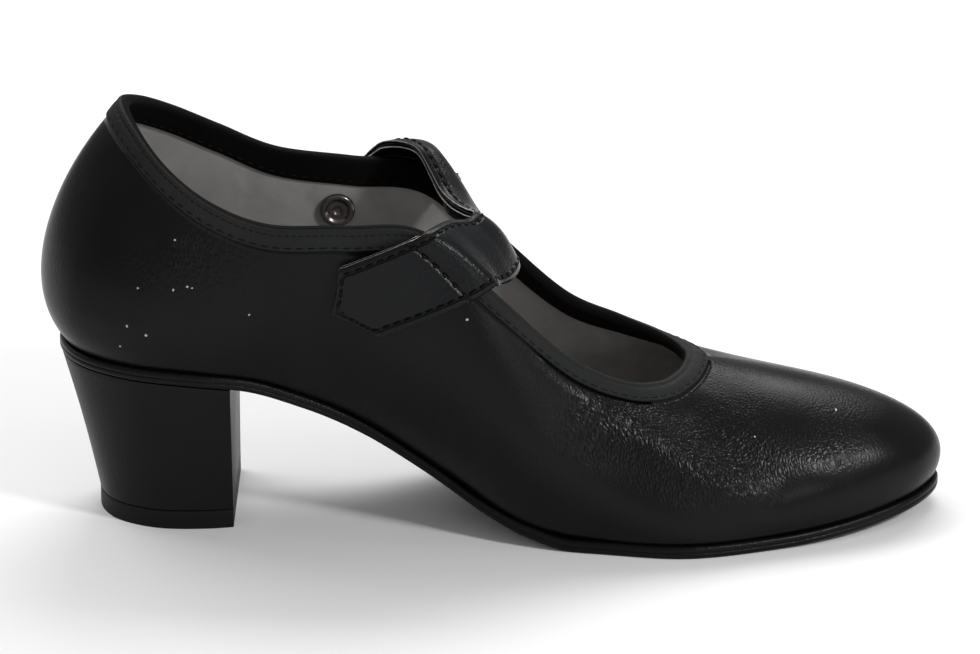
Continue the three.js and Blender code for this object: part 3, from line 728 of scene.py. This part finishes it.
def tab_point(tab, down, offset, lift):
    """A point of a tab from its distance down as a share and its offset as a share of half width."""
    middle = wall(tab["place"] / RING, 1.0)
    tilt = math.radians(tab["angle"])
    turn = rim_crossing(tab, offset)
    crossing = wall(turn, 1.0)
    reach = offset * STRAP_WIDTH / 2
    end_x = middle[0] - STRAP_TAB * math.cos(tilt) + reach * math.sin(tilt)
    end_z = middle[2] - STRAP_TAB * math.sin(tilt) - reach * math.cos(tilt)
    return wall_across(crossing[0] + (end_x - crossing[0]) * down,
                       crossing[2] + (end_z - crossing[2]) * down, turn, lift)


def tab_line(tab, down, half, lift):
    off_wall = STRAP_THICKNESS / 2 + GAP + (CLEARANCE - GAP) * lift
    return np.array([tab_point(tab, down, share * half, off_wall) for share in SHARES])


def bridge_line(rear_across, rear_bow, rear_rise, front_across, front_bow, front_rise, crown):
    """Points from the rear edge to the front one, each between its own crossings of the two rims."""
    line = []
    for share in SHARES:
        across, bow, rise = (rear + (front - rear) * (share + 1) / 2 for rear, front in (
            (rear_across, front_across), (rear_bow, front_bow), (rear_rise, front_rise)))
        rise += crown * (1 - share**2)
        inner_end, outer_end = (wall(rim_crossing(TABS[side], share), 1.0)
                                for side in ("medial", "lateral"))
        line.append(inner_end + (outer_end - inner_end) * across
                    + np.array([bow * STRAP_BOW, 0, rise * STRAP_RISE]))
    return line


STRAP_LINES = np.array([tab_line(TABS["medial"], *row) for row in TAB_ROWS]
                       + [bridge_line(*row) for row in BRIDGE_ROWS]
                       + [tab_line(TABS["lateral"], *row) for row in reversed(TAB_ROWS)])


def rail_point(points, place):
    """Smooth open curve through points, spaced so that close points don't make it loop."""
    place = min(max(place, 0), 1) * (len(points) - 1)
    i = min(int(place), len(points) - 2)
    t = place - i
    p1, p2 = points[i], points[i + 1]
    p0 = points[i - 1] if i > 0 else 2 * points[0] - points[1]
    p3 = points[i + 2] if i + 2 < len(points) else 2 * points[-1] - points[-2]
    d0, d1, d2 = (max(float(np.linalg.norm(b - a))**0.5, 1e-4)
                  for a, b in ((p0, p1), (p1, p2), (p2, p3)))
    m1 = ((p1 - p0) / d0 - (p2 - p0) / (d0 + d1) + (p2 - p1) / d1) * d1
    m2 = ((p2 - p1) / d1 - (p3 - p1) / (d1 + d2) + (p3 - p2) / d2) * d1
    return (p1 * (2 * t**3 - 3 * t**2 + 1) + m1 * (t**3 - 2 * t**2 + t)
            + p2 * (3 * t**2 - 2 * t**3) + m2 * (t**3 - t**2))


ROWS_PER_LINE = 14
MIDDLE_RAIL = len(SHARES) // 2
strap_spans = (len(STRAP_LINES) - 1) * ROWS_PER_LINE
strap_middle = np.array([[rail_point(STRAP_LINES[:, k], i / strap_spans) for k in range(len(SHARES))]
                         for i in range(strap_spans + 1)])
strap_along = np.gradient(strap_middle, axis=0)
strap_across = np.gradient(strap_middle, axis=1)
strap_up = np.cross(strap_across, strap_along)
strap_up /= np.maximum(np.linalg.norm(strap_up, axis=-1, keepdims=True), 1e-9)
print("strap, measured along its middle", round(float(np.linalg.norm(
    np.diff(strap_middle[:, MIDDLE_RAIL], axis=0), axis=1).sum()), 1), "mm")


# %% The layers of the strap, with softened edges
def strip(low, high, inset, softness):
    """Loops of a strip between two lifts from the strap's middle face, drawn in by an inset."""
    half = np.linalg.norm(strap_middle[:, -1] - strap_middle[:, 0], axis=-1, keepdims=True) / 2
    share = SHARES[None, :] * np.clip(1 - inset / np.maximum(half, inset + 0.05), 0, 1)
    from_edge = (1 - np.abs(share)) * half - inset
    soften = np.sqrt(np.clip(1 - (1 - np.clip(from_edge / softness, 0, 1))**2, 0, 1))
    place = (share + 1) / 2 * (len(SHARES) - 1)
    base = np.clip(np.floor(place).astype(int), 0, len(SHARES) - 2)
    part = (place - base)[..., None]
    rows = np.arange(len(strap_middle))[:, None]
    middle = strap_middle[rows, base] * (1 - part) + strap_middle[rows, base + 1] * part
    up = strap_up[rows, base] * (1 - part) + strap_up[rows, base + 1] * part
    centre, reach = (low + high) / 2, (high - low) / 2
    top = middle + up * (centre + reach * (0.35 + 0.65 * soften))[..., None]
    bottom = middle + up * (centre - reach * (0.55 + 0.45 * soften))[..., None]
    return np.concatenate([top, bottom[:, ::-1]], axis=1)


def strip_piece(name, loops, materials, edge_index):
    rows, columns = loops.shape[:2]
    faces = grid_faces(rows, columns, False, True).tolist()
    sides = (len(SHARES) - 1, columns - 1)
    marks = [edge_index if n % columns in sides else 0 for n in range(len(faces))]
    for row, turned in ((0, True), (rows - 1, False)):
        for k in range(len(SHARES) - 1):
            ring = [row * columns + index for index in (k, k + 1, columns - 2 - k, columns - 1 - k)]
            faces.append(ring[::-1] if turned else ring)
            marks.append(edge_index)
    return piece_from(name, loops.reshape(-1, 3), faces, materials, marks)


STRAP_LAYERS = [  # name, low and high face, inset, softness of the edges, material index of the edges
    ("strap_top", 0.45, 1.2, 0.0, 0.5, 1),
    ("strap_core", -0.5, 0.4, 0.35, 0.3, 0),
    ("strap_backing", -1.2, -0.55, 0.1, 0.4, 1),
]
CROSS_SEAM_DOWN = 0.14  # share of the tab's length

middle_rail = strap_middle[:, MIDDLE_RAIL]
cross_seam = tab_line(TABS["medial"], CROSS_SEAM_DOWN, 1, 1)[MIDDLE_RAIL]
cross_row = int(np.argmin(np.linalg.norm(middle_rail - cross_seam, axis=-1)))
along = np.concatenate([[0], np.cumsum(np.linalg.norm(np.diff(middle_rail, axis=0), axis=-1))])
half_width = np.linalg.norm(strap_middle[:, -1] - strap_middle[:, 0], axis=-1) / 2
from_side = (1 - np.abs(SHARES)) * half_width[:, None]
from_cross = (along - along[cross_row])[:, None] * np.ones_like(from_side)
for name, low, high, inset, softness, edge_index in STRAP_LAYERS:
    layer = strip_piece(name, strip(low, high, inset, softness), [strap_black, raw_edge_and_highlight], edge_index)
    point_attribute(layer, "edge_mm", np.concatenate([from_side, from_side[:, ::-1]], axis=1))
    point_attribute(layer, "cross_mm", np.concatenate([from_cross, from_cross], axis=1))
    settle(layer, "strap")

# %% [markdown]
# ## Sole and insole
#
# The sole is a thin leather plate that follows the last from the heel seat to the toe. Its edge is
# trimmed, rounded and inked. A plate is drawn as an outline with a rounded edge, closed by strips
# from one side to the other, because strips take the curve of the shank without wrinkling.

# %% A plate that follows the sole's curve
PLATE_HALF = 144
ACROSS = 14


def plate(name, edge_profile, base, material):
    """edge_profile is a list of insets and heights over base, from below round the edge to above."""
    count = 2 * PLATE_HALF
    turns = np.arange(count) / count
    points = []
    for inset, height in edge_profile:
        plan = plan_point(turns, np.full(count, inset))
        points += list(np.column_stack([plan, base(plan[:, 0]) + height]))
    faces = grid_faces(len(edge_profile), count, False, True)[:, ::-1].tolist()
    for loop_index, turned in ((0, True), (len(edge_profile) - 1, False)):
        height = edge_profile[loop_index][1]
        start = loop_index * count
        strips = [[start]]
        for i in range(1, PLATE_HALF):
            inner, outer = points[start + i], points[start + count - i]
            row = [start + i]
            for k in range(1, ACROSS):
                share = k / ACROSS
                x, y = inner[:2] * (1 - share) + outer[:2] * share
                row.append(len(points))
                points.append(np.array([x, y, float(base(x)) + height]))
            row.append(start + count - i)
            strips.append(row)
        strips.append([start + PLATE_HALF])
        for row, next_row in zip(strips, strips[1:]):
            for k in range(ACROSS):
                if len(row) == 1:
                    face = [row[0], next_row[k], next_row[k + 1]]
                elif len(next_row) == 1:
                    face = [row[k], next_row[0], row[k + 1]]
                else:
                    face = [row[k], next_row[k], next_row[k + 1], row[k + 1]]
                faces.append(face[::-1] if turned else face)
    return piece_from(name, points, faces, [material])


SOLE_EDGE_PROFILE = [(1.6, 0), (0.75, 0), (0.4, 0.08), (0.14, 0.3), (0.02, 0.7), (0, 1.2), (0.04, 1.45),
                     (0.2, 1.58), (0.2, 1.7), (0.04, 1.82), (0, 2.1), (0.05, 2.65), (0.22, 3.02),
                     (0.5, 3.3), (0.9, 3.4), (1.6, 3.4)]
outsole = plate("outsole_leather", SOLE_EDGE_PROFILE, sole_bottom, sole_black)
settle(outsole, "outsole")

INSOLE_INSET = SOLE_MARGIN + UPPER_WALL + INSOLE_MARGIN
INSOLE_EDGE_PROFILE = [(INSOLE_INSET + 1, GAP), (INSOLE_INSET, GAP + 0.2), (INSOLE_INSET, GAP + 1.5),
                       (INSOLE_INSET + 0.3, GAP + 1.9), (INSOLE_INSET + 1, GAP + INSOLE_THICKNESS)]
sock = plate("sock_lining", INSOLE_EDGE_PROFILE, sole_top, lining_grey)
settle(sock, "insole")

# %% [markdown]
# ## Heel and top piece
#
# The heel is a turned wooden block covered in the same leather as the sole edge, cut straight at
# the breast. The top piece is the thin layer that wears and is nailed on. Both are outlines of the
# heel seat, drawn in towards the floor, and a bevel softens their edges.

# %% Heel outlines
HEEL_SIDE = 44
HEEL_HOLLOW = 0.05
EDGE_SOFTENING, SHARP_EDGE = 0.55, 40  # mm, degrees


def breast_turn():
    low, high = 0.0, 0.5
    for _ in range(30):
        middle = (low + high) / 2
        ahead = plan_point(middle, HEEL_INSET)[0] < BREAST_X
        low, high = (middle, high) if ahead else (low, middle)
    return low


BREAST_TURN = breast_turn()
HEEL_TURNS = ((1 - np.arange(2 * HEEL_SIDE + 1) / HEEL_SIDE) * BREAST_TURN) % 1


def heel_outline(draw_in):
    plan = plan_point(HEEL_TURNS, np.full(len(HEEL_TURNS), HEEL_INSET))
    length = 1 - draw_in * HEEL_PITCH / HEEL_SEAT_LENGTH
    width = 1 - draw_in * (1 - TOP_PIECE_WIDTH / (SEAT_WIDTH - 2 * HEEL_INSET))
    return np.column_stack([BREAST_X - (BREAST_X - plan[:, 0]) * length, plan[:, 1] * width])


def block(name, levels, material, node):
    """Loops of the heel's outline, each with a draw-in and a rule for height, closed by strips."""
    top_x = heel_outline(0)[:, 0]
    loops = [np.column_stack([heel_outline(draw_in), height(top_x)]) for draw_in, height in levels]
    count = loops[0].shape[0]
    faces = grid_faces(len(loops), count, False, True)[:, ::-1].tolist()
    for start, turned in ((0, True), ((len(loops) - 1) * count, False)):
        for k in range(count // 2):
            face = [start + k, start + k + 1, start + count - 2 - k, start + count - 1 - k]
            face = list(dict.fromkeys(face))
            faces.append(face[::-1] if turned else face)
    piece = piece_from(name, np.concatenate(loops), faces, [material])
    soften = piece.modifiers.new("softened edges", "BEVEL")
    soften.width = EDGE_SOFTENING * MM
    soften.segments = 3
    soften.limit_method = "ANGLE"
    soften.angle_limit = math.radians(SHARP_EDGE)
    settle(piece, node)


HEEL_FLOOR = TOP_PIECE_THICKNESS + GAP


def heel_level(level):
    draw_in = 1 - level + HEEL_HOLLOW * math.sin(math.pi * level)
    return draw_in, lambda x: HEEL_FLOOR + (sole_bottom(x) - GAP - HEEL_FLOOR) * level


def wearing_level(height):
    return 1, lambda x: 0 * x + height


block("heel_block", [heel_level(level) for level in np.linspace(0, 1, 25)],
      heel_black, "heel")
block("wearing_layer", [wearing_level(height) for height in np.linspace(0, TOP_PIECE_THICKNESS, 5)],
      rubber_black, "top_piece")

# %% [markdown]
# ## Press stud
#
# Under the outer strap end sits a press stud. Its socket is riveted through the quarter, and the
# rivet's rolled ring shows on the grey lining. A profile turned round an axis gives it.

# %% Rolled ring of the press stud
STUD_PROFILE = [  # shares of the stud's radius and height
    (0, 0), (0.88, 0), (0.96, 0.06), (1, 0.25), (0.995, 0.5), (0.96, 0.75), (0.9, 0.92),
    (0.82, 1.0), (0.74, 0.97), (0.68, 0.85), (0.63, 0.66), (0.56, 0.52), (0.46, 0.47), (0.36, 0.5),
    (0.29, 0.55), (0.25, 0.48), (0.23, 0.25), (0.16, 0.18), (0, 0.16),
]
STUD_SIDES = 48
STUD_PLACE, STUD_BELOW_RIM = RING - 4.8, 15.0
seat, normal = leather([STUD_PLACE / RING], [[STUD_BELOW_RIM]], -UPPER_WALL - GAP)
seat, inward = seat[0, 0], -normal[0, 0]
side = np.cross(inward, [0, 0, 1])
side /= np.linalg.norm(side)
upward = np.cross(side, inward)
points = [seat]
for out, height in STUD_PROFILE[1:-1]:
    for k in range(STUD_SIDES):
        angle = 2 * math.pi * k / STUD_SIDES
        points.append(seat + inward * height * STUD_HEIGHT
                      + out * STUD_RADIUS * (math.cos(angle) * side + math.sin(angle) * upward))
points.append(seat + inward * STUD_PROFILE[-1][1] * STUD_HEIGHT)
rings = len(STUD_PROFILE) - 2
faces = [[1 + a for a in face] for face in grid_faces(rings, STUD_SIDES, False, True).tolist()]
faces += [[0, 1 + k, 1 + (k + 1) % STUD_SIDES] for k in range(STUD_SIDES)]
last = 1 + (rings - 1) * STUD_SIDES
faces += [[len(points) - 1, last + (k + 1) % STUD_SIDES, last + k] for k in range(STUD_SIDES)]
stud = piece_from("press_stud_ring", points, faces, [snap_metal])
settle(stud, "snap_back")

# %% [markdown]
# ## Stitches
#
# A seam is a row of short threads that dip into their holes. Each one is a squat bead of thread.
# Geometry Nodes place them: a path with the direction of the leather's face is cut into equal
# steps, and a bead lies at each step along the path, half sunk into the leather.


# %% The stitch tree: one bead of thread at each step of a path
def stitch_tree():
    tree = bpy.data.node_groups.new("row_of_stitches", "GeometryNodeTree")
    face = tree.interface
    face.new_socket(name="Path", in_out="INPUT", socket_type="NodeSocketGeometry")
    sockets = {name: face.new_socket(name=name, in_out="INPUT", socket_type=kind).identifier
               for name, kind in (("Pitch", "NodeSocketFloat"), ("Stitch length", "NodeSocketFloat"),
                                  ("Thread radius", "NodeSocketFloat"),
                                  ("Thread", "NodeSocketMaterial"))}
    face.new_socket(name="Stitches", in_out="OUTPUT", socket_type="NodeSocketGeometry")
    link = tree.links.new
    source, result = tree.nodes.new("NodeGroupInput"), tree.nodes.new("NodeGroupOutput")
    path = tree.nodes.new("GeometryNodeMeshToCurve")
    even = tree.nodes.new("GeometryNodeResampleCurve")
    even.mode = "LENGTH"
    bead = tree.nodes.new("GeometryNodeMeshUVSphere")
    bead.inputs["Segments"].default_value = 6
    bead.inputs["Rings"].default_value = 5
    bead.inputs["Radius"].default_value = 1
    size = tree.nodes.new("ShaderNodeCombineXYZ")
    half = tree.nodes.new("ShaderNodeMath")
    half.operation = "MULTIPLY"
    half.inputs[1].default_value = 0.5
    out = tree.nodes.new("GeometryNodeInputNamedAttribute")
    out.data_type = "FLOAT_VECTOR"
    out.inputs["Name"].default_value = "face_out"
    tangent = tree.nodes.new("GeometryNodeInputTangent")
    turn = tree.nodes.new("FunctionNodeAxesToRotation")
    turn.primary_axis, turn.secondary_axis = "Z", "X"
    place = tree.nodes.new("GeometryNodeInstanceOnPoints")
    real = tree.nodes.new("GeometryNodeRealizeInstances")
    smooth = tree.nodes.new("GeometryNodeSetShadeSmooth")
    dye = tree.nodes.new("GeometryNodeSetMaterial")
    link(source.outputs["Path"], path.inputs["Mesh"])
    link(path.outputs["Curve"], even.inputs["Curve"])
    link(source.outputs["Pitch"], even.inputs["Length"])
    link(even.outputs["Curve"], place.inputs["Points"])
    link(bead.outputs["Mesh"], place.inputs["Instance"])
    link(source.outputs["Stitch length"], half.inputs[0])
    link(half.outputs[0], size.inputs["X"])
    link(source.outputs["Thread radius"], size.inputs["Y"])
    link(source.outputs["Thread radius"], size.inputs["Z"])
    link(size.outputs["Vector"], place.inputs["Scale"])
    link(out.outputs["Attribute"], turn.inputs["Primary Axis"])
    link(tangent.outputs["Tangent"], turn.inputs["Secondary Axis"])
    link(turn.outputs["Rotation"], place.inputs["Rotation"])
    link(place.outputs["Instances"], real.inputs["Geometry"])
    link(real.outputs["Geometry"], smooth.inputs["Geometry"])
    link(smooth.outputs["Geometry"], dye.inputs["Geometry"])
    link(source.outputs["Thread"], dye.inputs["Material"])
    link(dye.outputs["Geometry"], result.inputs["Stitches"])
    return tree, sockets


STITCHES, STITCH_SOCKETS = stitch_tree()


def stitch_row(name, paths, pitch, length, radius):
    """paths is a list of (points, face directions, closed) in millimetres."""
    points, edges, out = [], [], []
    for line, directions, closed in paths:
        start = len(points)
        points += list(line)
        out += list(directions)
        edges += [(start + i, start + i + 1) for i in range(len(line) - 1)]
        if closed:
            edges.append((start + len(line) - 1, start))
    mesh = bpy.data.meshes.new(name + "_path")
    mesh.from_pydata([tuple(point * MM) for point in points], edges, [])
    attribute = mesh.attributes.new("face_out", "FLOAT_VECTOR", "POINT")
    attribute.data.foreach_set("vector", np.asarray(out, float).ravel())
    carrier = put_in_scene(bpy.data.objects.new(name + "_path", mesh))
    modifier = carrier.modifiers.new("stitches", "NODES")
    modifier.node_group = STITCHES
    for socket, value in (("Pitch", pitch * MM), ("Stitch length", length * MM),
                          ("Thread radius", radius * MM), ("Thread", thread_black)):
        modifier[STITCH_SOCKETS[socket]] = value
    graph = bpy.context.evaluated_depsgraph_get()
    made = bpy.data.meshes.new_from_object(carrier.evaluated_get(graph), depsgraph=graph)
    made.name = name
    bpy.data.objects.remove(carrier)
    piece = put_in_scene(bpy.data.objects.new(name, made))
    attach(piece, "root")
    print(name, "faces", len(made.polygons))


# %% Seams of the binding: outside, along the collar's rim and on the facing
SEAM_STEPS = 420
BINDING_SEAM, RIM_SEAM, FACING_SEAM = BINDING_WIDTH - 0.85, 1.35, FACING_WIDTH - 1.4  # below the rim
BINDING_FACE, RIM_FACE, FACING_FACE = 0.64, 0.74, -2.72  # off the upper's outer face
RIM_SEAM_END_X = 66  # the rim's own seam shows along the collar, and not round the throat

turns = np.arange(SEAM_STEPS) / SEAM_STEPS
binding_line, binding_out = leather(turns, [BINDING_SEAM], BINDING_FACE)
rim_line, rim_out = leather(turns, [RIM_SEAM], RIM_FACE)
facing_line, facing_out = leather(turns, [FACING_SEAM], FACING_FACE)
collar = np.roll(rim_line[:, 0, 0] < RIM_SEAM_END_X, SEAM_STEPS // 2)
rim_line, rim_out = (np.roll(values[:, 0], SEAM_STEPS // 2, axis=0)[collar]
                     for values in (rim_line, rim_out))
stitch_row("binding_seams", [(binding_line[:, 0], binding_out[:, 0], True)],
           pitch=3.1, length=2.3, radius=0.26)
stitch_row("rim_seam", [(rim_line, rim_out, False)],
           pitch=1.9, length=1.35, radius=0.16)
stitch_row("facing_seam", [(facing_line[:, 0], -facing_out[:, 0], True)],
           pitch=3.1, length=2.3, radius=0.2)

# %% Seam round the strap and the row across its sewn end
THREAD_LIFT = 0.02
ROWS_OFF_POINT = 3


def strap_spot(row, share, lift):
    place = (share + 1) / 2 * (len(SHARES) - 1)
    base = min(max(int(place), 0), len(SHARES) - 2)
    part = place - base
    middle = strap_middle[row, base] * (1 - part) + strap_middle[row, base + 1] * part
    up = strap_up[row, base] * (1 - part) + strap_up[row, base + 1] * part
    return middle + up * lift, up


def strap_path(row_shares, closed):
    spots = [strap_spot(row, share, STRAP_THICKNESS / 2 + THREAD_LIFT) for row, share in row_shares]
    return [spot[0] for spot in spots], [spot[1] for spot in spots], closed


wide_rows = [row for row in range(len(half_width)) if half_width[row] > STRAP_SEAM_INSET * 1.25]
first, last = wide_rows[0] + ROWS_OFF_POINT, wide_rows[-1] - ROWS_OFF_POINT
rear = [(row, -1 + STRAP_SEAM_INSET / half_width[row]) for row in range(first, last)]
front = [(row, 1 - STRAP_SEAM_INSET / half_width[row]) for row in range(last - 1, first - 1, -1)]
cross = [(cross_row, share) for share in np.linspace(-0.8, 0.8, 40)]
stitch_row("strap_seam", [strap_path(rear + front, True), strap_path(cross, False)],
           pitch=3.2, length=2.3, radius=0.32)

# %% [markdown]
# ## Floor and light
#
# The shoe was photographed on a white sweep. Black leather shows only what it reflects, so the
# light matters more than the colour. A wide panel above and behind draws the pale sheen on top of
# the toe, one over the heel lights the lining and the heel, and a small bright one beside the toe
# draws the slanting highlight on the vamp. Two weak ones lift the toe cap and the low front. The
# room gives the rest, and the floor is matt, so that it stays plain.

# %% Floor
FLOOR_HALF = 3
floor_mesh = bpy.data.meshes.new("floor")
floor_mesh.from_pydata([(x * FLOOR_HALF, y * FLOOR_HALF, 0) for x, y in ((-1, -1), (1, -1), (1, 1), (-1, 1))],
                       [], [(0, 1, 2, 3)])
floor_white, _, shader = new_material("floor_white")
shader.inputs["Base Color"].default_value = (0.86, 0.86, 0.86, 1)
gloss(shader, specular=0.1, roughness=0.9)
floor_mesh.materials.append(floor_white)
put_in_scene(bpy.data.objects.new("floor", floor_mesh))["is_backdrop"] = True

# %% Panels of light and the room
bpy.context.scene.view_settings.view_transform = "Standard"
world = bpy.data.worlds.new("dim_room")
bpy.context.scene.world = world
world.use_nodes = True
room = world.node_tree.nodes["Background"]
room.inputs["Color"].default_value = (1, 1, 1, 1)
room.inputs["Strength"].default_value = 0.35


def panel(name, place, aim, size, power):
    """A soft box: its place and aim in metres, its size in metres and its power in watts."""
    light = put_in_scene(bpy.data.objects.new(name, bpy.data.lights.new(name, "AREA")))
    light.data.shape = "RECTANGLE"
    light.data.size, light.data.size_y = size
    light.data.energy = power
    light.location = place
    light.rotation_euler = (Vector(aim) - Vector(place)).to_track_quat("-Z", "Y").to_euler()


panel("back_top_panel", (0.24, 0.80, 1.10), (0.13, 0, 0.05), (0.9, 0.6), 11.5)
panel("heel_side_panel", (-0.62, 0.55, 1.0), (0.03, 0, 0.05), (0.8, 0.8), 6.5)
panel("toe_side_panel", (0.76, -0.50, 0.62), (0.12, 0, 0.04), (0.14, 0.14), 5.0)
panel("toe_cap_panel", (0.72, -0.16, 0.82), (0.18, 0, 0.03), (0.14, 0.14), 0.3)
panel("low_front_panel", (0.56, -0.90, 0.24), (0.15, 0, 0.03), (0.5, 0.16), 0.9)

# %% Box of the dressed model
low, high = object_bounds()
print("dressed box", [round(value, 4) for value in (*low, *high)])
